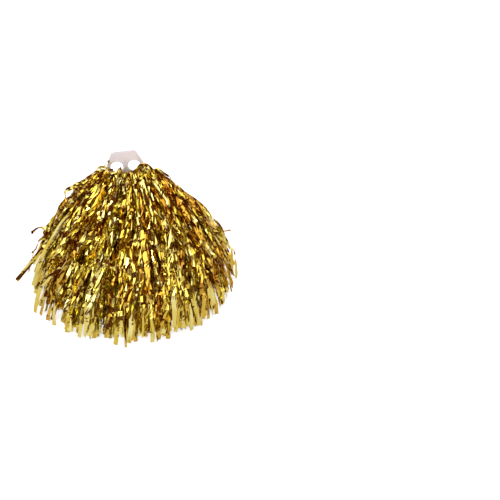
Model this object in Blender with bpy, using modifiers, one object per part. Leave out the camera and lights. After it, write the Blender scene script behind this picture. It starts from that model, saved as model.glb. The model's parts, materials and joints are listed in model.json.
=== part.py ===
"""Cheer pom pom: a moulded two-hole handle plate over a dome of slit metallised film hanks.

Metres, +Z up. The origin is on the surface that the pom pom stands on, under the middle of the
dome. The plate's faces look along -Y and +Y. The film's thousands of crinkles are left out: each
hank of strips is a plain closed panel of the right size and place.
"""
import math

import bmesh
import bpy
from mathutils import Matrix, Vector

# ---- driving dimensions -------------------------------------------------------------------------
FINGER_HOLE_RADIUS = 0.0105      # each finger hole is 21 mm across
FINGER_HOLE_PITCH = 0.029        # between the two hole centres
RING_RADIUS = 0.0163             # outside of the plate round each finger hole
PLATE_THICKNESS = 0.003
TAB_WIDTH = 0.040                # straight top edge of the palm tab
TAB_RISE = 0.0295                # from the hole centres up to the top edge
TAB_CORNER_RADIUS = 0.0025
BEAD_RADIUS = 0.0024             # rounded rim round each finger hole, proud of both faces
PLATE_HOLE_RADIUS = 0.0118       # the flat plate ends inside the bead
HOLE_CENTRE_Z = 0.2335           # height of the finger holes above the standing surface
HANDLE_ROLL = math.radians(8.0)  # the plate leans a little sideways in the soft neck

CROSS_BAR_Z = 0.2055
CROSS_BAR_RADIUS = 0.0026
CROSS_BAR_LENGTH = 0.0255
STEM_WIDTH = 0.0085

NECK_RADIUS = 0.012              # the cinched film under the cross bar
NECK_TOP_Z = 0.2005
NECK_FOOT_Z = 0.186
FILM_WALL = 0.006                # a hank of loose strips, pressed together

OUTER_COUNT = 12
OUTER_TOP = (0.0180, 0.2110)     # radius and height where the outer strips leave the neck
OUTER_LENGTH = 0.270
OUTER_SLOPE = (30.0, 75.0)       # degrees below the horizontal, at the neck and at the ends
OUTER_HINGE = (0.0175, 0.2112)
PANEL_GAP = math.radians(1.6)    # angle left free between neighbouring hanks

CORE_COUNT = 6
CORE_LENGTH = 0.243
CORE_SLOPE = (33.0, 69.0)
CORE_FOOT_RISE = 0.010           # the strip ends stand upright on the surface

TIE_Z = 0.1935
TIE_WIDTH = 0.0046
TIE_THICKNESS = 0.0013
TIE_CLEARANCE = 0.0004
TIE_HEAD_SIZE = (0.0050, 0.0075, 0.0060)
TIE_TAIL_LENGTH = 0.0090

BAND_WIDTH = 0.0065              # the uncut middle of the blanks, along each arm of the cross bar
BAND_WALL = 0.0022
BAND_CLEARANCE = 0.0005
FIT_GAP = 0.0003

PROFILE_STEPS = 10
OUTER_SWEEP_STEPS = 4
CORE_SWEEP_STEPS = 7
RING_STEPS = 48
HALF_RING_STEPS = 12
BEAD_STEPS = 12
PLATE_EDGE_STEPS = 22
CORNER_STEPS = 5
BAR_STEPS = 24
WELD_DISTANCE = 0.00001


# ---- scene --------------------------------------------------------------------------------------
def clear_scene():
    """Removes every object, so that the model starts from nothing."""
    for old in list(bpy.data.objects):
        bpy.data.objects.remove(old, do_unlink=True)


def new_collection(name):
    """A collection linked to the scene."""
    made = bpy.data.collections.new(name)
    bpy.context.scene.collection.children.link(made)
    return made


clear_scene()
PARTS = new_collection("cheer_pom_pom")
CUTTERS = new_collection("cutters")


def new_material(name, colour, roughness, metallic):
    """A Principled material with one colour."""
    material = bpy.data.materials.new(name)
    material.use_nodes = True
    shader = material.node_tree.nodes["Principled BSDF"]
    shader.inputs["Base Color"].default_value = (*colour, 1.0)
    shader.inputs["Roughness"].default_value = roughness
    shader.inputs["Metallic"].default_value = metallic
    return material


GOLD_FILM = new_material("metallised_gold_film", (0.62, 0.42, 0.05), 0.22, 1.0)
WHITE_PLASTIC = new_material("frosted_white_plastic", (0.80, 0.76, 0.77), 0.40, 0.0)
CLEAR_NYLON = new_material("natural_nylon", (0.72, 0.70, 0.62), 0.35, 0.0)


def new_object(name, mesh, material, collection=PARTS):
    """An object of a mesh, in its collection, with its own material."""
    made = bpy.data.objects.new(name, mesh)
    mesh.materials.clear()
    mesh.materials.append(material)
    collection.objects.link(made)
    return made


def new_pivot(name, location, rotation=(0.0, 0.0, 0.0)):
    """An empty on a joint's axis, which its moving pieces are parented to."""
    pivot = bpy.data.objects.new(name, None)
    pivot.empty_display_size = 0.01
    pivot.location = location
    pivot.rotation_euler = rotation
    PARTS.objects.link(pivot)
    return pivot


def shade_round(made, limit=math.radians(35.0)):
    """Smooth shading, kept sharp at the edges between faces that meet at more than the limit."""
    made.data.shade_smooth()
    made.data.set_sharp_from_angle(angle=limit)


def add_boolean(target, tool, operation):
    """A live Boolean on the target, with the tool kept out of the part."""
    tool.hide_render = True
    tool.display_type = "WIRE"
    boolean = target.modifiers.new(operation.lower(), "BOOLEAN")
    boolean.operation = operation
    boolean.solver = "EXACT"
    boolean.object = tool


# ---- film hanks ---------------------------------------------------------------------------------
def drooping_profile(top, length, slope_degrees):
    """Points (radius, height) of a strip that leaves the neck and turns down at an even rate."""
    first, last = (math.radians(a) for a in slope_degrees)
    bend = length / (last - first)
    points = []
    for i in range(PROFILE_STEPS + 1):
        angle = first + (last - first) * i / PROFILE_STEPS
        radius = top[0] + bend * (math.sin(angle) - math.sin(first))
        height = top[1] - bend * (math.cos(first) - math.cos(angle))
        points.append((radius, height))
    return points


def hank_section(profile):
    """The closed outline of a hank's section: the profile and, one wall further in, its inside."""
    section = [Vector(p) for p in profile]
    inside = []
    for i, point in enumerate(section):
        before = (point - section[i - 1]).normalized() if i > 0 else None
        after = (section[i + 1] - point).normalized() if i + 1 < len(section) else None
        before = before or after
        after = after or before
        inward = Vector((before.y + after.y, -before.x - after.x)).normalized()
        square = Vector((before.y, -before.x))
        inside.append(point + inward * FILM_WALL / inward.dot(square))
    return section + inside[::-1]


def turned_panel(name, profile, azimuth, width, steps, pivot=None):
    """One hank: its section turned through a part of a circle, with both ends closed."""
    mesh = bpy.data.meshes.new(name)
    shape = bmesh.new()
    corners = [shape.verts.new((p.x, 0.0, p.y)) for p in hank_section(profile)]
    face = shape.faces.new(corners)
    bmesh.ops.spin(
        shape,
        geom=[*corners, *face.edges, face],
        axis=(0.0, 0.0, 1.0),
        angle=width,
        steps=steps,
    )
    bmesh.ops.recalc_face_normals(shape, faces=shape.faces)
    shape.to_mesh(mesh)
    shape.free()
    panel = new_object(name, mesh, GOLD_FILM)
    shade_round(panel)
    place = Matrix.Rotation(azimuth - width / 2, 4, "Z")
    if pivot:
        panel.parent = pivot
        panel.matrix_local = pivot.matrix_basis.inverted() @ place
    else:
        panel.matrix_local = place
    return panel


outer_profile = drooping_profile(OUTER_TOP, OUTER_LENGTH, OUTER_SLOPE)
outer_width = 2 * math.pi / OUTER_COUNT - PANEL_GAP
for i in range(OUTER_COUNT):
    azimuth = 2 * math.pi * (i + 0.5) / OUTER_COUNT - math.pi / 2
    hinge_radius, hinge_z = OUTER_HINGE
    hinge_place = (hinge_radius * math.cos(azimuth), hinge_radius * math.sin(azimuth), hinge_z)
    hinge = new_pivot(f"outer_hank_hinge_{i + 1:02d}", hinge_place)
    turned_panel(f"outer_hank_{i + 1:02d}", outer_profile, azimuth, outer_width, OUTER_SWEEP_STEPS, hinge)

core_arc = drooping_profile((NECK_RADIUS, NECK_FOOT_Z), CORE_LENGTH, CORE_SLOPE)
core_arc = [p for p in core_arc if p[1] > CORE_FOOT_RISE]
foot_radius = core_arc[-1][0] + (core_arc[-1][1] - CORE_FOOT_RISE) / math.tan(math.radians(CORE_SLOPE[1]))
core_profile = [(NECK_RADIUS, NECK_TOP_Z)] + core_arc + [(foot_radius, CORE_FOOT_RISE), (foot_radius, 0.0)]
core_width = 2 * math.pi / CORE_COUNT - PANEL_GAP
for i in range(CORE_COUNT):
    azimuth = 2 * math.pi * (i + 0.5) / CORE_COUNT - math.pi / 2
    turned_panel(f"core_hank_{i + 1:02d}", core_profile, azimuth, core_width, CORE_SWEEP_STEPS)


# ---- folded middles of the film blanks, over the cross bar --------------------------------------
def half_pipe_outline(inner, outer, foot):
    """Points (y, z) of an upturned U: two legs joined by a half ring round the cross bar."""
    points = []
    for i in range(HALF_RING_STEPS + 1):
        angle = math.pi * i / HALF_RING_STEPS
        points.append((outer * math.cos(angle), outer * math.sin(angle)))
    points += [(-outer, -foot), (-inner, -foot)]
    for i in range(HALF_RING_STEPS + 1):
        angle = math.pi * (1 - i / HALF_RING_STEPS)
        points.append((inner * math.cos(angle), inner * math.sin(angle)))
    points += [(inner, -foot), (outer, -foot)]
    return points


def folded_band(name, side):
    """The uncut middle of one stack of blanks, saddled over one arm of the cross bar."""
    inner = CROSS_BAR_RADIUS + BAND_CLEARANCE
    outer = inner + BAND_WALL
    along_bar = STEM_WIDTH / 2 + 2 * FIT_GAP + BAND_WIDTH / 2
    lean_drop = (along_bar + BAND_WIDTH / 2) * math.sin(HANDLE_ROLL)
    foot = CROSS_BAR_Z - NECK_TOP_Z - FIT_GAP - lean_drop
    curve = bpy.data.curves.new(name, "CURVE")
    curve.dimensions = "2D"
    curve.fill_mode = "BOTH"
    curve.extrude = BAND_WIDTH / 2
    points = half_pipe_outline(inner, outer, foot)
    spline = curve.splines.new("POLY")
    spline.points.add(len(points) - 1)
    for point, (y, z) in zip(spline.points, points):
        point.co = (y, z, 0.0, 1.0)
    spline.use_cyclic_u = True
    band = new_object(name, curve, GOLD_FILM)
    centre = Vector((side * along_bar, 0.0, CROSS_BAR_Z))
    upright = Matrix(((0, 0, 1, 0), (1, 0, 0, 0), (0, 1, 0, 0), (0, 0, 0, 1)))
    lean = Matrix.Rotation(-HANDLE_ROLL, 4, "Y")
    axis_point = Vector((0.0, 0.0, CROSS_BAR_Z))
    band.matrix_world = (
        Matrix.Translation(axis_point) @ lean @ Matrix.Translation(centre - axis_point) @ upright
    )
    return band


folded_band("folded_film_left", -1)
folded_band("folded_film_right", 1)


# ---- cable tie ----------------------------------------------------------------------------------
def box_cutter(name, size, matrix):
    """A plain box used by a Boolean."""
    mesh = bpy.data.meshes.new(name)
    shape = bmesh.new()
    bmesh.ops.create_cube(shape, size=1.0)
    bmesh.ops.scale(shape, vec=size, verts=shape.verts)
    shape.to_mesh(mesh)
    shape.free()
    box = new_object(name, mesh, CLEAR_NYLON, CUTTERS)
    box.matrix_world = matrix
    return box


def cable_tie(name):
    """A nylon strap drawn round the neck, with its ratchet head and a cropped tail behind."""
    inner = NECK_RADIUS + TIE_CLEARANCE
    outer = inner + TIE_THICKNESS
    low = -TIE_WIDTH / 2
    high = TIE_WIDTH / 2
    mesh = bpy.data.meshes.new(name)
    loop = [(outer, 0, high), (outer, 0, low), (inner, 0, low), (inner, 0, high)]
    mesh.from_pydata(loop, [(0, 1), (1, 2), (2, 3), (3, 0)], [])
    strap = new_object(name, mesh, CLEAR_NYLON)
    strap.location = (0.0, 0.0, TIE_Z)
    screw = strap.modifiers.new("turn", "SCREW")
    screw.axis = "Z"
    screw.steps = RING_STEPS
    screw.render_steps = RING_STEPS
    screw.merge_threshold = WELD_DISTANCE
    screw.use_merge_vertices = True
    head_y = inner + TIE_HEAD_SIZE[0] / 2 + FIT_GAP
    head_place = Matrix.Translation((0.0, head_y, TIE_Z))
    head_size = (TIE_HEAD_SIZE[1], TIE_HEAD_SIZE[0], TIE_HEAD_SIZE[2])
    add_boolean(strap, box_cutter("tie_head", head_size, head_place), "UNION")
    tail_place = Matrix.Translation((TIE_TAIL_LENGTH / 2, head_y + TIE_THICKNESS, TIE_Z))
    tail_size = (TIE_TAIL_LENGTH, TIE_THICKNESS, TIE_WIDTH)
    add_boolean(strap, box_cutter("tie_tail", tail_size, tail_place), "UNION")
    return strap


cable_tie("cable_tie")


# ---- handle plate -------------------------------------------------------------------------------
def arc_points(centre, radius, start, end, steps):
    """Points along an arc, from the start angle to the end angle."""
    points = []
    for i in range(steps + 1):
        angle = start + (end - start) * i / steps
        points.append((centre[0] + radius * math.cos(angle), centre[1] + radius * math.sin(angle)))
    return points


def right_half_outline():
    """The plate's edge on its right half, from the stem's foot up to the top edge (x, z)."""
    ring = (FINGER_HOLE_PITCH / 2, 0.0)
    half_stem = STEM_WIDTH / 2
    stem_foot = CROSS_BAR_Z - HOLE_CENTRE_Z
    stem_join = math.acos((half_stem - ring[0]) / RING_RADIUS)
    corner = Vector((TAB_WIDTH / 2, TAB_RISE))
    reach = corner - Vector(ring)
    side_touch = math.atan2(reach.y, reach.x) - math.acos(RING_RADIUS / reach.length)
    touch = Vector(ring) + RING_RADIUS * Vector((math.cos(side_touch), math.sin(side_touch)))
    down_side = (touch - corner).normalized()
    half_corner = (math.pi - down_side.angle(Vector((-1.0, 0.0)))) / 2
    setback = TAB_CORNER_RADIUS * math.tan(half_corner)
    round_centre = (corner.x - setback, corner.y - TAB_CORNER_RADIUS)
    points = [(half_stem, stem_foot)]
    points += arc_points(ring, RING_RADIUS, -stem_join, side_touch, PLATE_EDGE_STEPS)
    points += arc_points(round_centre, TAB_CORNER_RADIUS, side_touch, math.pi / 2, CORNER_STEPS)
    return points


def add_loop(curve, points):
    """One closed straight-sided loop of a flat curve."""
    spline = curve.splines.new("POLY")
    spline.points.add(len(points) - 1)
    for point, (x, y) in zip(spline.points, points):
        point.co = (x, y, 0.0, 1.0)
    spline.use_cyclic_u = True


def mesh_from_curve(name, curve):
    """The curve's solid as a mesh whose caps are welded to its sides."""
    guide = bpy.data.objects.new(name, curve)
    CUTTERS.objects.link(guide)
    depsgraph = bpy.context.evaluated_depsgraph_get()
    mesh = bpy.data.meshes.new_from_object(guide.evaluated_get(depsgraph))
    bpy.data.objects.remove(guide, do_unlink=True)
    shape = bmesh.new()
    shape.from_mesh(mesh)
    bmesh.ops.remove_doubles(shape, verts=shape.verts, dist=WELD_DISTANCE)
    shape.to_mesh(mesh)
    shape.free()
    return mesh


def plastic_tool(name, place):
    """The primitive that was just added, named, put in place and kept out of the part."""
    tool = bpy.context.object
    tool.name = name
    for collection in list(tool.users_collection):
        collection.objects.unlink(tool)
    CUTTERS.objects.link(tool)
    tool.data.materials.append(WHITE_PLASTIC)
    tool.matrix_world = place
    return tool


def finger_bead(name, x, place):
    """The rounded rim of one finger hole."""
    bpy.ops.mesh.primitive_torus_add(
        major_radius=FINGER_HOLE_RADIUS + BEAD_RADIUS,
        minor_radius=BEAD_RADIUS,
        major_segments=RING_STEPS,
        minor_segments=BEAD_STEPS,
    )
    return plastic_tool(name, place @ Matrix.Translation((x, 0.0, 0.0)))


def cross_bar(name, pivot):
    """The round bar at the stem's foot, which the film is folded over."""
    bpy.ops.mesh.primitive_cylinder_add(
        vertices=BAR_STEPS,
        radius=CROSS_BAR_RADIUS,
        depth=CROSS_BAR_LENGTH,
    )
    return plastic_tool(name, pivot.matrix_basis @ Matrix.Rotation(math.pi / 2, 4, "Y"))


def handle_plate(name, pivot):
    """The whole moulding: tab, two beaded finger holes, stem and cross bar."""
    right = right_half_outline()
    left = [(-x, z) for x, z in reversed(right)]
    curve = bpy.data.curves.new(name, "CURVE")
    curve.dimensions = "2D"
    curve.fill_mode = "BOTH"
    curve.extrude = PLATE_THICKNESS / 2
    add_loop(curve, right + left)
    for x in (-FINGER_HOLE_PITCH / 2, FINGER_HOLE_PITCH / 2):
        add_loop(curve, arc_points((x, 0.0), PLATE_HOLE_RADIUS, 0.0, 2 * math.pi, RING_STEPS)[:-1])
    plate = new_object(name, mesh_from_curve("plate_outline", curve), WHITE_PLASTIC)
    upright = Matrix.Rotation(math.pi / 2, 4, "X")
    above_bar = Matrix.Translation((0.0, 0.0, HOLE_CENTRE_Z - CROSS_BAR_Z))
    plate.data.transform(above_bar @ upright)
    plate.parent = pivot
    place = pivot.matrix_basis @ above_bar @ upright
    for side, x in (("left", -FINGER_HOLE_PITCH / 2), ("right", FINGER_HOLE_PITCH / 2)):
        add_boolean(plate, finger_bead(f"bead_{side}", x, place), "UNION")
    add_boolean(plate, cross_bar("cross_bar", pivot), "UNION")
    shade_round(plate)
    return plate


handle_pivot = new_pivot("handle_pivot", (0.0, 0.0, CROSS_BAR_Z), (0.0, -HANDLE_ROLL, 0.0))
handle_plate("handle_plate", handle_pivot)
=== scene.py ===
import json
import math

import bmesh
import bpy
import numpy as np
from mathutils import Matrix, Vector

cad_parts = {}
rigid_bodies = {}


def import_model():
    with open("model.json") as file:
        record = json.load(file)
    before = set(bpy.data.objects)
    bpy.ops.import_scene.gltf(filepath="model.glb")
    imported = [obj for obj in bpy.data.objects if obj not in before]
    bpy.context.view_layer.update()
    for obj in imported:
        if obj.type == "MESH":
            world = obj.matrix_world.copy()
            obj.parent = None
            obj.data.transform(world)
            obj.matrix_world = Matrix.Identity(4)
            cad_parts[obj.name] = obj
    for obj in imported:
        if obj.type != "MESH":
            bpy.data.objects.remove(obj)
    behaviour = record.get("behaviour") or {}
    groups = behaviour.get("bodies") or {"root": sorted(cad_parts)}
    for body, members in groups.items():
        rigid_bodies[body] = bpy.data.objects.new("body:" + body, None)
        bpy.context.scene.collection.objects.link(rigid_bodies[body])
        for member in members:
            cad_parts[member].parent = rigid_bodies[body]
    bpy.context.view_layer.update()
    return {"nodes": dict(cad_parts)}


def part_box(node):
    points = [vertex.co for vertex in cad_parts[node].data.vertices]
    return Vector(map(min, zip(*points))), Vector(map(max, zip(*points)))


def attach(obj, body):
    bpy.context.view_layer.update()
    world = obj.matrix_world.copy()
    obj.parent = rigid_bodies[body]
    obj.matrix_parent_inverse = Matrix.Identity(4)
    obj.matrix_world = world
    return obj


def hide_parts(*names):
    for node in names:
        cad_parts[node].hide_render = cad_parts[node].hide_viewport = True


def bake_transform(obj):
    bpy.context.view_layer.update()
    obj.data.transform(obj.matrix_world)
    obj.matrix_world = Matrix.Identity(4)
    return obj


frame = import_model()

# ---- handle plate -------------------------------------------------------------------------------
# A flat tab with two beaded finger holes, a stem and a cross bar, all one injection moulding in
# frosted polyethylene. It stands in the middle of the film and two fingers go through its holes.
MM = 0.001
HANDLE = "handle"
PLATE_VOXEL = 0.45 * MM
PLATE_SMOOTHING = 6
MOULD_GRAIN_MM = 0.9
GRAIN_DEPTH = 0.04 * MM
FLOW_CLOUD_MM = 14.0
WELD_DISTANCE = 0.001 * MM


def linear(code, alpha=1.0):
    """An sRGB hex code as linear red, green, blue and alpha."""
    channels = [int(code[i:i + 2], 16) / 255 for i in (1, 3, 5)]
    straight = [c / 12.92 if c <= 0.04045 else ((c + 0.055) / 1.055) ** 2.4 for c in channels]
    return (*straight, alpha)


def new_finish(name, **sockets):
    """A new node material: its tree and its Principled shader, with numbers set on its sockets."""
    material = bpy.data.materials.new(name)
    material.use_nodes = True
    shader = material.node_tree.nodes["Principled BSDF"]
    for socket, value in sockets.items():
        shader.inputs[socket.replace("_", " ")].default_value = value
    return material, material.node_tree, shader


def add_node(tree, kind, settings=None, links=None):
    """Adds a node: settings go to its properties, its input sockets or, as a list of (position, hex
    code) called stops, to its colour ramp, and links join other nodes' sockets to its inputs."""
    node = tree.nodes.new(kind)
    for key, value in (settings or {}).items():
        if key == "stops":
            for position, code in value[1:-1]:
                node.color_ramp.elements.new(position)
            for element, (position, code) in zip(node.color_ramp.elements, value):
                element.position, element.color = position, linear(code)
        elif hasattr(node, key):
            setattr(node, key, value)
        else:
            node.inputs[key].default_value = value
    for key, source in (links or {}).items():
        tree.links.new(source, node.inputs[key])
    return node


def frosted_polyethylene():
    """Milky plastic: light soaks in a little way, and the mould's fine grain blurs its gloss."""
    material, tree, shader = new_finish(
        "frosted_polyethylene", Roughness=0.42, Subsurface_Weight=0.35, Subsurface_Scale=0.004, IOR=1.51,
    )
    place = add_node(tree, "ShaderNodeTexCoord").outputs["Object"]
    cloud = add_node(tree, "ShaderNodeTexNoise", {"Scale": 1 / (FLOW_CLOUD_MM * MM)}, {"Vector": place})
    milk = add_node(tree, "ShaderNodeValToRGB", {"stops": [(0.35, "#F3EEF3"), (0.65, "#FAF6F9")]},
                    {"Fac": cloud.outputs["Fac"]})
    tree.links.new(milk.outputs["Color"], shader.inputs["Base Color"])
    grain = add_node(tree, "ShaderNodeTexNoise", {"Scale": 1 / (MOULD_GRAIN_MM * MM), "Detail": 4.0},
                     {"Vector": place})
    relief = add_node(tree, "ShaderNodeBump", {"Strength": 0.25, "Distance": GRAIN_DEPTH},
                      {"Height": grain.outputs["Fac"]})
    tree.links.new(relief.outputs["Normal"], shader.inputs["Normal"])
    return material


def moulded_copy(name, node, voxel, smoothing, material):
    """A node's shape with even small faces and rounded edges, as a mould gives: welded, remeshed in
    cells of the size voxel, and then each vertex moved half way to its neighbours' mean, smoothing
    times."""
    mesh = bpy.data.objects[node].data.copy()
    mesh.materials.clear()
    mesh.materials.append(material)
    welded = bmesh.new()
    welded.from_mesh(mesh)
    bmesh.ops.remove_doubles(welded, verts=welded.verts, dist=WELD_DISTANCE)
    welded.to_mesh(mesh)
    welded.free()
    rough = bpy.data.objects.new(name, mesh)
    bpy.context.scene.collection.objects.link(rough)
    remesh = rough.modifiers.new("even_faces", "REMESH")
    remesh.mode = "VOXEL"
    remesh.voxel_size = voxel
    remesh.use_smooth_shade = True
    soften = rough.modifiers.new("rounded_edges", "SMOOTH")
    soften.iterations = smoothing
    soften.factor = 0.5
    finished = bpy.data.meshes.new_from_object(rough.evaluated_get(bpy.context.evaluated_depsgraph_get()))
    rough.modifiers.clear()
    rough.data = finished
    finished.materials.clear()
    finished.materials.append(material)
    return rough


handle_plastic = frosted_polyethylene()
plate = moulded_copy("moulded_handle_plate", "handle_plate", PLATE_VOXEL, PLATE_SMOOTHING, handle_plastic)
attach(plate, HANDLE)
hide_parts("handle_plate")

# ---- cable tie ----------------------------------------------------------------------------------
# A natural nylon 66 strap with its ratchet head behind, moulded in one piece. It is drawn tight round
# the folded film under the cross bar, and the drawn film hides it.
TIE_CLOUD_MM = 5.0

tie_nylon, tie_tree, tie_shader = new_finish(
    "natural_nylon_66", Roughness=0.34, Subsurface_Weight=0.3, Subsurface_Scale=0.002, IOR=1.53,
)
tie_place = add_node(tie_tree, "ShaderNodeTexCoord").outputs["Object"]
tie_cloud = add_node(tie_tree, "ShaderNodeTexNoise", {"Scale": 1 / (TIE_CLOUD_MM * MM)},
                     {"Vector": tie_place})
tie_cream = add_node(tie_tree, "ShaderNodeValToRGB", {"stops": [(0.3, "#DAD5C4"), (0.7, "#E8E4D6")]},
                     {"Fac": tie_cloud.outputs["Fac"]})
tie_tree.links.new(tie_cream.outputs["Color"], tie_shader.inputs["Base Color"])
for tie_slot in bpy.data.objects["cable_tie"].material_slots:
    tie_slot.material = tie_nylon

# ---- folded middles of the film blanks ----------------------------------------------------------
# The uncut middle of each stack of blanks is pleated small and saddled over one arm of the cross
# bar. The film is thin polyester, aluminised and then lacquered amber, which makes it gold: a
# coloured mirror, lemon yellow in one reflection and darker and more orange in each further one.
CORE = "film_core"
WRINKLE_MM = 2.4
WRINKLE_DEPTH = 0.22 * MM
FILM_ROUGHNESS = 0.15
PLAIN_TINT = 0.5
FOLD_INNER = 3.2 * MM
FOLD_OUTER = 5.1 * MM
FOLD_GAP = 0.4 * MM
FOLD_MARGIN = 0.3 * MM
FOLD_ROWS = 40
FOLD_PLEATS = 22


def lacquered_film():
    """Gold mirror film: a metal wrinkled along its strips, with its base colour set strip by strip.

    The attribute film_tint, from 0 to 1, sets that colour from dark amber to pale lemon. It is partly
    the lacquer's own tone, which differs at random, and partly painted shade and painted highlight:
    the dark amber end stands in for the brown shade of deep folds, and the pale lemon end for whitish
    highlights. The wrinkles are cells in the film's own UV map, which is in metres, drawn out along
    the strip.
    """
    material, tree, shader = new_finish(
        "lacquered_aluminised_polyester", Metallic=1.0, Roughness=FILM_ROUGHNESS, Coat_Weight=0.12,
        Coat_Roughness=0.08,
    )
    tint = add_node(tree, "ShaderNodeAttribute", {"attribute_name": "film_tint"}).outputs["Fac"]
    # The stops run from dark amber, partly painted shade of deep folds, to pale lemon, partly painted
    # highlight.
    lacquer_and_shade_stops = [(0.0, "#AE741C"), (0.3, "#CF9F36"), (0.55, "#DEC84E"), (1.0, "#F3ED9C")]
    amber = add_node(tree, "ShaderNodeValToRGB", {"stops": lacquer_and_shade_stops}, {"Fac": tint})
    tree.links.new(amber.outputs["Color"], shader.inputs["Base Color"])
    along = add_node(tree, "ShaderNodeUVMap", {"uv_map": "film_uv"}).outputs["UV"]
    drawn_out = add_node(tree, "ShaderNodeMapping", {"Scale": (1.0, 0.4, 1.0)}, {"Vector": along})
    wrinkles = add_node(tree, "ShaderNodeTexVoronoi",
                        {"feature": "DISTANCE_TO_EDGE", "Scale": 1 / (WRINKLE_MM * MM)},
                        {"Vector": drawn_out.outputs["Vector"]})
    relief = add_node(tree, "ShaderNodeBump", {"Strength": 0.30, "Distance": WRINKLE_DEPTH},
                      {"Height": wrinkles.outputs["Distance"]})
    tree.links.new(relief.outputs["Normal"], shader.inputs["Normal"])
    return material


def film_mesh(name, grids, tints, lengths_along, width, material):
    """An object of one or more grids of film, each rows by columns of points.

    The faces are quads between neighbouring points, flat shaded because film creases sharply. The UV
    map film_uv gives metres across and along. The attribute film_tint gives the base colour tint: partly
    the lacquer's tone and partly painted shade and painted highlight.
    """
    count, rows, columns, _ = grids.shape
    row, column = np.meshgrid(np.arange(rows - 1), np.arange(columns - 1), indexing="ij")
    first = (row * columns + column).ravel()
    quad = np.stack([first, first + 1, first + columns + 1, first + columns], axis=-1)
    quads = (quad[None] + (np.arange(count) * rows * columns)[:, None, None]).reshape(-1, 4)
    mesh = bpy.data.meshes.new(name)
    mesh.vertices.add(count * rows * columns)
    mesh.vertices.foreach_set("co", grids.astype(np.float32).ravel())
    mesh.loops.add(quads.size)
    mesh.loops.foreach_set("vertex_index", quads.astype(np.int32).ravel())
    mesh.polygons.add(len(quads))
    mesh.polygons.foreach_set("loop_start", np.arange(0, quads.size, 4, dtype=np.int32))
    mesh.update(calc_edges=True)
    across = np.broadcast_to(np.linspace(0, width, columns), (count, rows, columns))
    across = across + (np.arange(count) * width)[:, None, None]
    along = np.broadcast_to(lengths_along[:, :, None], (count, rows, columns))
    places = np.stack([across, along], axis=-1).reshape(-1, 2)
    uv = mesh.uv_layers.new(name="film_uv")
    uv.data.foreach_set("uv", places[quads.ravel()].astype(np.float32).ravel())
    # film_tint holds the tint, partly painted shade and painted highlight.
    tint = mesh.attributes.new("film_tint", "FLOAT", "POINT")
    tint.data.foreach_set("value", np.repeat(tints.ravel(), columns).astype(np.float32))
    mesh.validate()
    mesh.shade_flat()
    mesh.materials.append(material)
    made = bpy.data.objects.new(name, mesh)
    bpy.context.scene.collection.objects.link(made)
    return made


def saddled_pleats(node):
    """The pleated middle of a blank: a zigzag across, carried over an upturned U.

    Up one leg, round the bar by half a turn and down the other; columns alternate between the inner
    and the outer radius, so that the width of the blank is folded up along the bar.
    """
    low, high = (np.array(corner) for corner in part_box(node))
    bar = np.array([(low[0] + high[0]) / 2, 0, high[2] - FOLD_OUTER - FOLD_GAP])
    leg = bar[2] - low[2]
    turn = math.pi * FOLD_OUTER
    along = np.linspace(-leg - turn / 2, leg + turn / 2, FOLD_ROWS)
    angle = np.clip(along / FOLD_OUTER, -math.pi / 2, math.pi / 2)
    below = np.maximum(np.abs(along) - turn / 2, 0)
    columns = np.arange(FOLD_PLEATS * 2 + 1)
    radius = np.where(columns % 2 == 0, FOLD_INNER, FOLD_OUTER)
    across = np.linspace(low[0] + FOLD_MARGIN, high[0] - FOLD_MARGIN, len(columns))
    y = np.sin(angle)[:, None] * radius
    z = bar[2] + np.cos(angle)[:, None] * radius - below[:, None]
    x = np.broadcast_to(across, y.shape)
    width = FOLD_PLEATS * 2 * (FOLD_OUTER - FOLD_INNER)
    return np.stack([x, y, z], axis=-1)[None], along[None], width


gold_film = lacquered_film()
for side in ("left", "right"):
    pleats, pleats_along, blank_width = saddled_pleats(f"folded_film_{side}")
    folded = film_mesh(f"pleated_film_{side}", pleats, np.full((1, FOLD_ROWS), PLAIN_TINT), pleats_along,
                       blank_width, gold_film)
    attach(folded, CORE)
    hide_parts(f"folded_film_{side}")

# ---- inner hanks --------------------------------------------------------------------------------
# Each hank is half of a wide film blank: uncut where it is folded over the cross bar, then slit into
# strips a little over 7 mm wide. The inner ones hang steeply under the neck, stand on the surface
# and fill the dome.
STRIP_WIDTH = 7.4 * MM
STRIP_LENGTH = 330 * MM
STATIONS = 46
COLUMNS = 3
NECK_Z = 199 * MM
FLOOR_SKIM = 0.5 * MM
FULL_REACH = 195 * MM
SPARE_REACH = 30 * MM
TURN_OVER = 18 * MM
SLOPE_WANDER = 0.08
SWAY = 8 * MM
SIDE_LEAN = 14 * MM
INNER_STRIPS = 60
INNER_LENGTH = 262 * MM


def drift(rng, count, knots, held_from=1.0):
    """Smooth random curves, one a row: random heights at even knots, joined by a cosine ease. Past
    the share held_from of its length a curve stays level."""
    heights = rng.normal(size=(count, knots + 1))
    at = np.linspace(0, knots - 1e-6, STATIONS).clip(0, knots * held_from - 1e-6)
    low = at.astype(int)
    ease = (1 - np.cos(np.pi * (at - low))) / 2
    return heights[:, low] * (1 - ease) + heights[:, low + 1] * ease


def unit(vectors):
    """Vectors scaled to length one."""
    return vectors / np.linalg.norm(vectors, axis=-1, keepdims=True).clip(1e-9)


def ramp(x, start, end):
    """0 before start, 1 after end, with an ease between them."""
    t = np.clip((x - start) / (end - start), 0, 1)
    return t * t * (3 - 2 * t)


def running_sum(steps):
    """Sums along each row, starting from 0, so that a row gains one column."""
    return np.concatenate([np.zeros((len(steps), 1)), np.cumsum(steps, axis=1)], axis=1)


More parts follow.
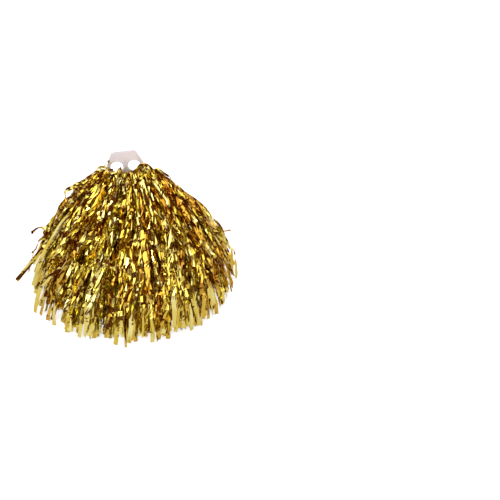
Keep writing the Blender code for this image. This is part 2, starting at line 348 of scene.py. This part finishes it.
def hung_lines(rng, azimuth, lift, climb, rise, droop, length, foot, neck):
    """Points along strips: an arch in the upright plane of each azimuth, as rows of (x, y, z).

    A strip leaves the neck at the slope lift above the horizontal, climbs that way for climb metres,
    turns over within TURN_OVER to the slope rise below the horizontal, and steepens to droop at its
    end. Its slope wanders by SLOPE_WANDER radians, it sways to its sides by SWAY, and it leans to one
    side by SIDE_LEAN times the square of its share. A strip that would go below foot is drawn up
    evenly, because its own crumpling takes up the spare length. neck gives the half widths in x and y
    of the oval that the strips leave. No strip reaches further out than FULL_REACH: over the last
    SPARE_REACH it is held in by a hyperbolic tangent.
    """
    count = len(azimuth)
    steps = rng.uniform(0.25, 1.75, (count, STATIONS - 1))
    steps *= (length / steps.sum(axis=1))[:, None]
    along = running_sum(steps)
    share = along / length[:, None]
    turned = ramp(along, climb[:, None], climb[:, None] + TURN_OVER)
    slope = (rise + lift)[:, None] * turned - lift[:, None]
    slope = slope + (droop - rise)[:, None] * ramp(share, -0.25, 1.15) * turned
    slope = slope + drift(rng, count, 6, 0.75) * SLOPE_WANDER * ramp(share, 0.15, 0.5)
    middle = (slope[:, 1:] + slope[:, :-1]) / 2
    fallen = running_sum(np.sin(middle) * steps)
    drawn_up = np.minimum(1, (NECK_Z - foot) / fallen[:, -1])[:, None]
    height = NECK_Z - fallen * drawn_up
    radius = running_sum(np.cos(middle) * steps * drawn_up)
    neck_reach = np.hypot(neck[0] * np.cos(azimuth), neck[1] * np.sin(azimuth))
    free = FULL_REACH - SPARE_REACH - neck_reach[:, None]
    radius = np.minimum(radius, free + SPARE_REACH * np.tanh((radius - free).clip(0) / SPARE_REACH))
    sway = drift(rng, count, 5, 0.78) * SWAY * ramp(share, 0.05, 0.6)
    sway = sway + rng.normal(size=(count, 1)) * SIDE_LEAN * share ** 2
    angle = azimuth[:, None] + sway / radius.clip(30 * MM)
    x = neck[0] * np.cos(azimuth)[:, None] + radius * np.cos(angle)
    y = neck[1] * np.sin(azimuth)[:, None] + radius * np.sin(angle)
    return np.stack([x, y, height], axis=-1)


def folds(rng, count):
    """Random numbers along each strip that keep near their neighbours, as long narrow facets do."""
    rough = rng.normal(size=(count, STATIONS + 2))
    return rough[:, :-2] * 0.4 + rough[:, 1:-1] * 0.9 + rough[:, 2:] * 0.4


# Twists in radians, pushes off the flat in metres, and shares of a strip's width or crumple.
SLOW_TWIST, QUICK_TWIST = 0.65, 0.24
ZIGZAG, FACET_ZIGZAG = 0.7 * MM, 0.8 * MM
WAVER = 0.6 * MM
SKEW = 0.9 * MM
CREASE = 0.5 * MM
EDGE_CURL, MIDDLE_CURL = 0.35 * MM, 0.95 * MM
NECK_PLEAT = 1.6 * MM
NECK_NARROWING = 0.45
FLAT_SHARE = 0.08
LIVELY_FROM = 0.35


def crumpled_strips(rng, points, crumple, flat_end, turned):
    """Grids of strips, COLUMNS across and one row for each station, and how far along each row is.

    Each row is turned about the strip by a slow twist and a quick random one, pushed off the centre
    line in a zigzag, and skewed, and its inner vertices are pushed off the flat, so that the film is
    folded into small long facets. Near the neck the strip is pleated narrow; the last flat_end
    metres keep FLAT_SHARE of the crumple. turned is a further turn about the strip at each row, and a
    strip with less crumple than LIVELY_FROM twists less about it.
    """
    count = len(points)
    liveliness = (crumple / LIVELY_FROM).clip(0, 1)
    along = running_sum(np.linalg.norm(np.diff(points, axis=1), axis=-1))
    forward = unit(np.gradient(points, axis=1))
    away = np.concatenate([points[..., :2], np.zeros_like(points[..., :1])], axis=-1)
    sideways = unit(np.cross(forward, away + np.array([0, 0, 60 * MM])))
    outward = unit(np.cross(sideways, forward))
    to_end = along[:, -1:] - along
    ends = ramp(to_end, flat_end[:, None] * 0.6, flat_end[:, None] * 1.4 + 1 * MM)
    rough = ramp(along, 5 * MM, 30 * MM) * (FLAT_SHARE + (1 - FLAT_SHARE) * ends) * crumple[:, None]
    twist = drift(rng, count, 8) * SLOW_TWIST * (0.5 + 0.5 * ends)
    twist = twist + folds(rng, count) * QUICK_TWIST * rough
    twist = twist * liveliness[:, None] + turned
    cos, sin = np.cos(twist)[..., None], np.sin(twist)[..., None]
    across = cos * sideways + sin * outward
    facing = cos * outward - sin * sideways
    zigzag = (rng.normal(size=along.shape) * ZIGZAG + folds(rng, count) * FACET_ZIGZAG) * rough
    waver = folds(rng, count) * WAVER * rough
    centre = points + facing * zigzag[..., None] + across * waver[..., None]
    pleated = 1 - ramp(along, 15 * MM, 90 * MM)
    half = (STRIP_WIDTH / 2 * (1 - NECK_NARROWING * pleated))[..., None]
    skew = (folds(rng, count) * SKEW * rough)[..., None]
    columns = []
    for place in np.linspace(-1, 1, COLUMNS):
        inner = 1 - place * place
        curl = drift(rng, count, 8) * (EDGE_CURL + MIDDLE_CURL * inner)
        crease = folds(rng, count) * CREASE * rough + curl + inner * pleated * NECK_PLEAT
        columns.append(centre + across * half * place + forward * skew * place + facing * crease[..., None])
    return np.stack(columns, axis=2), along


# The stretches, sideways and upwards, over which the push away from the plate fades out and in.
PLATE_EDGE, PLATE_PASSED = 30 * MM, 46 * MM
PLATE_FOOT, PLATE_FULL = 205 * MM, 214 * MM
PLATE_GAP, GAP_FADE = 3.6 * MM, 6 * MM


def clear_of_plate(grids):
    """Moves film away from the handle plate's mid plane, where it passes beside the plate: by
    PLATE_GAP at the mid plane, and less by an exponential of the distance over GAP_FADE."""
    x, y, z = grids[..., 0], grids[..., 1], grids[..., 2]
    near = (1 - ramp(np.abs(x), PLATE_EDGE, PLATE_PASSED)) * ramp(z, PLATE_FOOT, PLATE_FULL)
    side = np.where(y.mean(axis=(1, 2), keepdims=True) < 0, -1.0, 1.0)
    out = np.maximum(side * y, 0)
    grids[..., 1] = np.where(near > 0, side * (out + PLATE_GAP * near * np.exp(-out / GAP_FADE)), y)
    return grids


def above_floor(grids):
    """Lifts what is lower than the skim above the standing surface up to it."""
    grids[..., 2] = np.maximum(grids[..., 2], FLOOR_SKIM)
    return grids


# How the clumps of a hank scatter, and how the bunch differs in front, behind and at the right.
CLUMPS = 7
CLUMP_SPREAD = 0.04
CLUMP_LEAN = math.radians(2)
FOOT_SPREAD = 34 * MM
BEHIND_STEEPER = math.radians(2)
FRONT_FLATTER = math.radians(12)
RIGHT_FLATTER = math.radians(7)
FRONT_END_FLATTER = math.radians(5)
BEHIND_LESS_LIFT, FRONT_MORE_LIFT = 0.4, 0.12
BEHIND_LESS_CLIMB = 0.65


def hank_points(rng, middle, width, count, full_length, rise, droop, short, lift, climb, outermost, neck):
    """Centre lines of one hank's strips, gathered in CLUMPS clumps round the azimuth middle, and the
    number of each strip's clump.

    rise, droop, lift and climb are ranges: the first value is for the innermost strips of the hank
    and the last for the outermost. short is the largest share by which a strip is cut short, and
    outermost below 1 crowds the strips towards the outside of the hank. The bunch isn't even all
    round: its strips lie flatter in front and at the right, and stand up less behind.
    """
    clump = rng.integers(0, CLUMPS, count)
    clump_at = (np.arange(CLUMPS) + rng.uniform(0.2, 0.8, CLUMPS)) / CLUMPS - 0.5
    azimuth = middle + (clump_at[clump] + rng.normal(size=count) * CLUMP_SPREAD) * width
    clump_lean = rng.normal(size=CLUMPS) * CLUMP_LEAN
    layer = rng.uniform(0, 1, count) ** outermost

    def spread(limits, jitter=0.0):
        return limits[0] + (limits[1] - limits[0]) * layer + rng.normal(size=count) * jitter

    behind = ramp(np.sin(azimuth), -0.1, 0.7)
    front = ramp(-np.sin(azimuth), 0.5, 1.0)
    to_right = np.cos(azimuth)
    length = full_length * (1 - rng.uniform(0, 1, count) ** 2 * short)
    foot = FLOOR_SKIM + rng.uniform(0, 1, count) ** 2 * FOOT_SPREAD
    lifted = spread(lift, math.radians(8)) * (1 - BEHIND_LESS_LIFT * behind + FRONT_MORE_LIFT * front)
    climbed = (spread(climb, 2.5 * MM) * (1 - BEHIND_LESS_CLIMB * behind)).clip(0)
    slope = spread(rise) + clump_lean[clump] + BEHIND_STEEPER * behind
    slope = slope - FRONT_FLATTER * front - RIGHT_FLATTER * to_right
    end_slope = spread(droop, math.radians(2)) - FRONT_END_FLATTER * ramp(-np.sin(azimuth), 0.2, 0.9)
    return hung_lines(rng, azimuth, lifted, climbed, slope, end_slope, length, foot, neck), clump


# How hard strips are crumpled, how long their flat ends are, and how their tint varies: partly the
# lacquer's random tone and partly painted shade and painted highlight.
CRUMPLES, CRUMPLE_SHARES = [0.35, 0.8, 1.1, 1.35], [0.2, 0.25, 0.3, 0.25]
STRAIGHT_CRUMPLE = 0.05
SHORT_FLATS_MM, LONG_FLATS_MM = (0, 15), (20, 75)
SHORT_FLAT_SHARE = 0.35
CLUMP_TURN = 0.45
MIDDLE_TINT = 0.56
CLUMP_TINT, STRIP_TINT, TINT_WANDER = 0.12, 0.13, 0.18
DARKEST_TINT, DARKEST_END_TINT = 0.12, 0.42


def hank_of_film(name, rng, points, clump, straight=()):
    """One hank as an object: crumpled strips along the points, each with its own tint, which is partly
    the lacquer's random tone and partly painted shade and painted highlight.

    The strips of a clump lie on one another, so they turn the same way at the same place. Their tint
    is alike too, which paints broad streaks of darker shade and lighter highlight. Near its end no
    strip is darker than DARKEST_END_TINT, so the open flat ends carry no painted shade. straight
    holds the steady turns, in radians, of the last strips, which are hardly crumpled.
    """
    count = len(points)
    clumps = clump.max() + 1
    crumple = rng.choice(CRUMPLES, count, p=CRUMPLE_SHARES)
    short_flats = rng.uniform(*SHORT_FLATS_MM, count)
    long_flats = rng.uniform(*LONG_FLATS_MM, count)
    flat_end = np.where(rng.uniform(0, 1, count) < SHORT_FLAT_SHARE, short_flats, long_flats) * MM
    turned = drift(rng, clumps, 7)[clump] * CLUMP_TURN
    if straight:
        crumple[-len(straight):] = STRAIGHT_CRUMPLE
        turned[-len(straight):] = np.array(straight)[:, None]
    grids, along = crumpled_strips(rng, points, crumple, flat_end, turned)
    # Painted shade and highlight: tints vary by clump, by strip and along each strip. The darker tints
    # stand in for the brown shade of deep folds.
    tints = MIDDLE_TINT + rng.normal(size=(clumps, 1))[clump] * CLUMP_TINT
    tints = tints + rng.normal(size=(count, 1)) * STRIP_TINT + drift(rng, count, 9) * TINT_WANDER
    # The ends are kept pale, out of the painted shade.
    at_end = ramp(np.linspace(0, 1, STATIONS), 0.7, 0.9)
    tints = np.maximum(tints, DARKEST_END_TINT * at_end).clip(DARKEST_TINT, 1)
    grids = above_floor(clear_of_plate(grids))
    return film_mesh(name, grids, tints, along, STRIP_WIDTH, gold_film)


core_nodes = sorted(name for name in frame["nodes"] if name.startswith("core_hank"))
for number, node in enumerate(core_nodes):
    turn = 2 * math.pi * (number + 0.5) / len(core_nodes) - math.pi / 2
    inner_rng = np.random.default_rng(300 + number)
    inner_points, inner_clump = hank_points(
        inner_rng, turn, 2 * math.pi / len(core_nodes), INNER_STRIPS, INNER_LENGTH,
        rise=(math.radians(76), math.radians(44)), droop=(math.radians(88), math.radians(75)), short=0.22,
        lift=(math.radians(-40), math.radians(10)), climb=(0, 1 * MM), outermost=0.8,
        neck=(9 * MM, 9 * MM),
    )
    hank = hank_of_film(f"inner_film_{number + 1:02d}", inner_rng, inner_points, inner_clump)
    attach(hank, CORE)
    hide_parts(node)

# ---- outer hanks --------------------------------------------------------------------------------
# The outer blanks' strips are swept up beside the handle, arch over and droop to the surface. A few
# strips have sprung out of the crown and the sides, and lie outside the rest.
OUTER_STRIPS = 78
OVERLAP = 1.04
LOOSE_CLUMPS = 3
# The node of its hank, its steady turn in radians and the places it passes, in millimetres.
STRAIGHT_STRIPS = [
    ("outer_hank_10", 0.95, [(-9, -2, 200), (-60, -5, 196), (-105, -9, 142), (-144, -12, 71),
                             (-194, -22, 3)]),
    ("outer_hank_10", 0.95, [(-9, -3, 200), (-60, -14, 192), (-112, -22, 129), (-146, -28, 66),
                             (-165, -36, 2)]),
]
# The node of their hank, how many lie together, how far apart, and the places they pass, in
# millimetres.
LOOSE_STRIPS = [
    ("outer_hank_10", 1, 0, [(-12, -4, 200), (-30, -6, 215), (-60, -7, 212), (-86, -8, 199), (-99, -8, 191),
                             (-108, -8, 183), (-103, -9, 173), (-112, -10, 162), (-119, -11, 148),
                             (-130, -13, 108)]),
    ("outer_hank_10", 1, 0, [(-9, -4, 200), (-60, -14, 190), (-100, -16, 140), (-126, -16, 106),
                             (-131, -16, 117), (-137, -16, 110), (-142, -16, 117), (-150, -16, 118),
                             (-164, -16, 104)]),
    ("outer_hank_10", 1, 0, [(-10, -6, 200), (-24, -12, 212), (-34, -13, 230), (-38, -12, 243),
                             (-34, -12, 253), (-31, -12, 250), (-34, -13, 242)]),
    ("outer_hank_09", 2, 3, [(-12, 3, 200), (-27, 5, 214), (-36, 5, 225), (-46, 5, 225), (-55, 5, 211),
                             (-80, 5, 185), (-100, 5, 150)]),
    ("outer_hank_10", 9, 4, [(-12, -3, 200), (-34, -4, 219), (-48, -5, 220), (-64, -6, 205), (-86, -8, 172),
                             (-102, -9, 150), (-115, -10, 128), (-124, -12, 105), (-135, -14, 60),
                             (-140, -18, 30)]),
    ("outer_hank_03", 1, 0, [(9, -3, 200), (60, -9, 194), (110, -12, 150), (140, -14, 118), (158, -14, 106),
                             (179, -14, 109)]),
    ("outer_hank_02", 8, 2, [(10, -5, 200), (14, -10, 228), (20, -11, 242), (26, -12, 249), (32, -13, 244),
                             (42, -16, 229), (57, -24, 207), (92, -50, 155), (118, -78, 95), (132, -96, 35),
                             (136, -102, 10)]),
    ("outer_hank_02", 7, 2, [(6, -5, 200), (9, -9, 225), (14, -11, 237), (20, -13, 236), (30, -20, 219),
                             (56, -56, 165), (78, -92, 98), (90, -118, 30)]),
    ("outer_hank_01", 8, 2.5, [(4, -5, 200), (6, -8, 222), (12, -11, 232), (20, -13, 230), (28, -25, 215),
                               (38, -66, 155), (46, -102, 90), (52, -130, 30)]),
    ("outer_hank_12", 8, 2.5, [(-6, -5, 200), (-7, -8, 220), (-12, -11, 228), (-19, -13, 225),
                               (-25, -27, 209), (-34, -66, 148), (-42, -102, 88), (-48, -130, 26)]),
]


def loose_lines(rng, count, scatter, knots):
    """Points along strips that pass near the same knots: straight runs, averaged smooth, and then
    moved apart at random by scatter millimetres."""
    knots = np.array(knots) * MM
    reach = running_sum(np.linalg.norm(np.diff(knots, axis=0), axis=-1)[None])[0]
    at = np.linspace(0, reach[-1], STATIONS)
    points = np.stack([np.interp(at, reach, knots[:, axis]) for axis in range(3)], axis=-1)
    for _ in range(2):
        points[1:-1] = (points[:-2] + points[1:-1] + points[2:]) / 3
    apart = rng.normal(size=(count, 1, 3)) * scatter * MM * ramp(at / reach[-1], 0, 0.3)[None, :, None]
    return points[None] + apart


outer_nodes = sorted(name for name in frame["nodes"] if name.startswith("outer_hank"))
for number, node in enumerate(outer_nodes):
    turn = 2 * math.pi * (number + 0.5) / len(outer_nodes) - math.pi / 2
    rng = np.random.default_rng(100 + number)
    points, clump = hank_points(
        rng, turn, 2 * math.pi / len(outer_nodes) * OVERLAP, OUTER_STRIPS, STRIP_LENGTH,
        rise=(math.radians(60), math.radians(41.5)), droop=(math.radians(80), math.radians(69)), short=0.08,
        lift=(math.radians(25), math.radians(75)), climb=(0, 25 * MM), outermost=0.5,
        neck=(25 * MM, 4.5 * MM),
    )
    loose = [loose_lines(rng, *how) for where, *how in LOOSE_STRIPS if where == node]
    straight = [how for where, *how in STRAIGHT_STRIPS if where == node]
    stiff = [loose_lines(rng, 1, 0, places) for _, places in straight]
    points = np.concatenate([points, *loose, *stiff])
    clump = np.concatenate([clump, clump.max() + 1 + np.arange(len(points) - len(clump)) % LOOSE_CLUMPS])
    hank = hank_of_film(f"film_hank_{number + 1:02d}", rng, points, clump, [tilt for tilt, _ in straight])
    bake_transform(hank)
    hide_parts(node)

# ---- stage --------------------------------------------------------------------------------------
# A plain white floor, soft lights all round with a small one for sparkle, and a camera that looks
# down at the pom pom. To the film the floor is dimmer than to the camera and the room is dark
# red-brown, which its deep folds mirror: in a white room they would be lost.
FLOOR_GLOW_TO_FILM, FLOOR_GLOW_TO_CAMERA = 0.12, 0.75
floor_material, floor_tree, floor_shader = new_finish("matte_white_paper", Roughness=0.9)
floor_shader.inputs["Base Color"].default_value = linear("#FBFBFB")
floor_shader.inputs["Emission Color"].default_value = linear("#FFFFFF")
floor_ray = add_node(floor_tree, "ShaderNodeLightPath")
floor_lift = add_node(floor_tree, "ShaderNodeMapRange",
                      {"To Min": FLOOR_GLOW_TO_FILM, "To Max": FLOOR_GLOW_TO_CAMERA},
                      {"Value": floor_ray.outputs["Is Camera Ray"]})
floor_tree.links.new(floor_lift.outputs["Result"], floor_shader.inputs["Emission Strength"])
bpy.ops.mesh.primitive_plane_add(size=12.0, location=(0, 0, -0.0005))
floor = bpy.context.object
floor.name = "studio_floor"
floor.data.materials.append(floor_material)

scene = bpy.context.scene
world = bpy.data.worlds.new("studio")
scene.world = world
world.use_nodes = True
room = world.node_tree.nodes["Background"]
ray = add_node(world.node_tree, "ShaderNodeLightPath")
room_colour = add_node(world.node_tree, "ShaderNodeValToRGB",
                       {"stops": [(0.0, "#521A0A"), (1.0, "#FFFFFF")]},
                       {"Fac": ray.outputs["Is Camera Ray"]})
world.node_tree.links.new(room_colour.outputs["Color"], room.inputs["Color"])


LIGHTS_AIM = (0, 0, 0.1)


def soft_light(name, place, size, power):
    """A rectangular soft light at place, turned to face LIGHTS_AIM: size in metres, power in watts."""
    lamp = bpy.data.lights.new(name, "AREA")
    lamp.shape = "RECTANGLE"
    lamp.size, lamp.size_y = size
    lamp.energy = power
    made = bpy.data.objects.new(name, lamp)
    scene.collection.objects.link(made)
    made.location = place
    made.rotation_euler = (Vector(LIGHTS_AIM) - Vector(place)).to_track_quat("-Z", "Y").to_euler()


soft_light("key_light", (-1.3, -1.2, 1.3), (1.8, 1.3), 21)
soft_light("fill_light", (1.5, -0.6, 1.1), (1.4, 1.7), 15)
soft_light("front_light", (0.15, -2.1, 0.75), (0.7, 0.4), 2.5)
soft_light("top_light", (0.1, 0.5, 2.0), (1.6, 1.0), 9)
soft_light("back_light", (-0.3, 2.0, 1.0), (2.2, 1.1), 14)
soft_light("sparkle_light", (-0.5, -1.8, 1.9), (0.22, 0.22), 5)

ELEVATION = math.radians(39)
SIGHT_Z = 222 * MM
VIEW_WIDTH = 837.5 * MM
LENS_MM = 85
SENSOR_MM = 36
NECK_TO_RIGHT, NECK_ABOVE = -204.4 * MM, 130.7 * MM
distance = VIEW_WIDTH * LENS_MM / SENSOR_MM
back = np.array([0, -math.cos(ELEVATION), math.sin(ELEVATION)])
up = np.array([0, math.sin(ELEVATION), math.cos(ELEVATION)])
below_neck = np.array([0, 0, SIGHT_Z]) - up * NECK_ABOVE
stand = below_neck + back * distance
look = unit(below_neck - np.array([NECK_TO_RIGHT, 0, 0]) - stand)
camera_right = unit(np.array([1, 0, 0]) - look[0] * look)
camera_axes = np.stack([camera_right, np.cross(camera_right, look), -look, stand], axis=1)
camera_data = bpy.data.cameras.new("camera")
camera_data.lens = LENS_MM
camera_data.sensor_width = SENSOR_MM
camera = bpy.data.objects.new("camera", camera_data)
scene.collection.objects.link(camera)
camera.matrix_world = Matrix([*camera_axes.tolist(), [0, 0, 0, 1]])
scene.camera = camera
scene.view_settings.view_transform = "Standard"
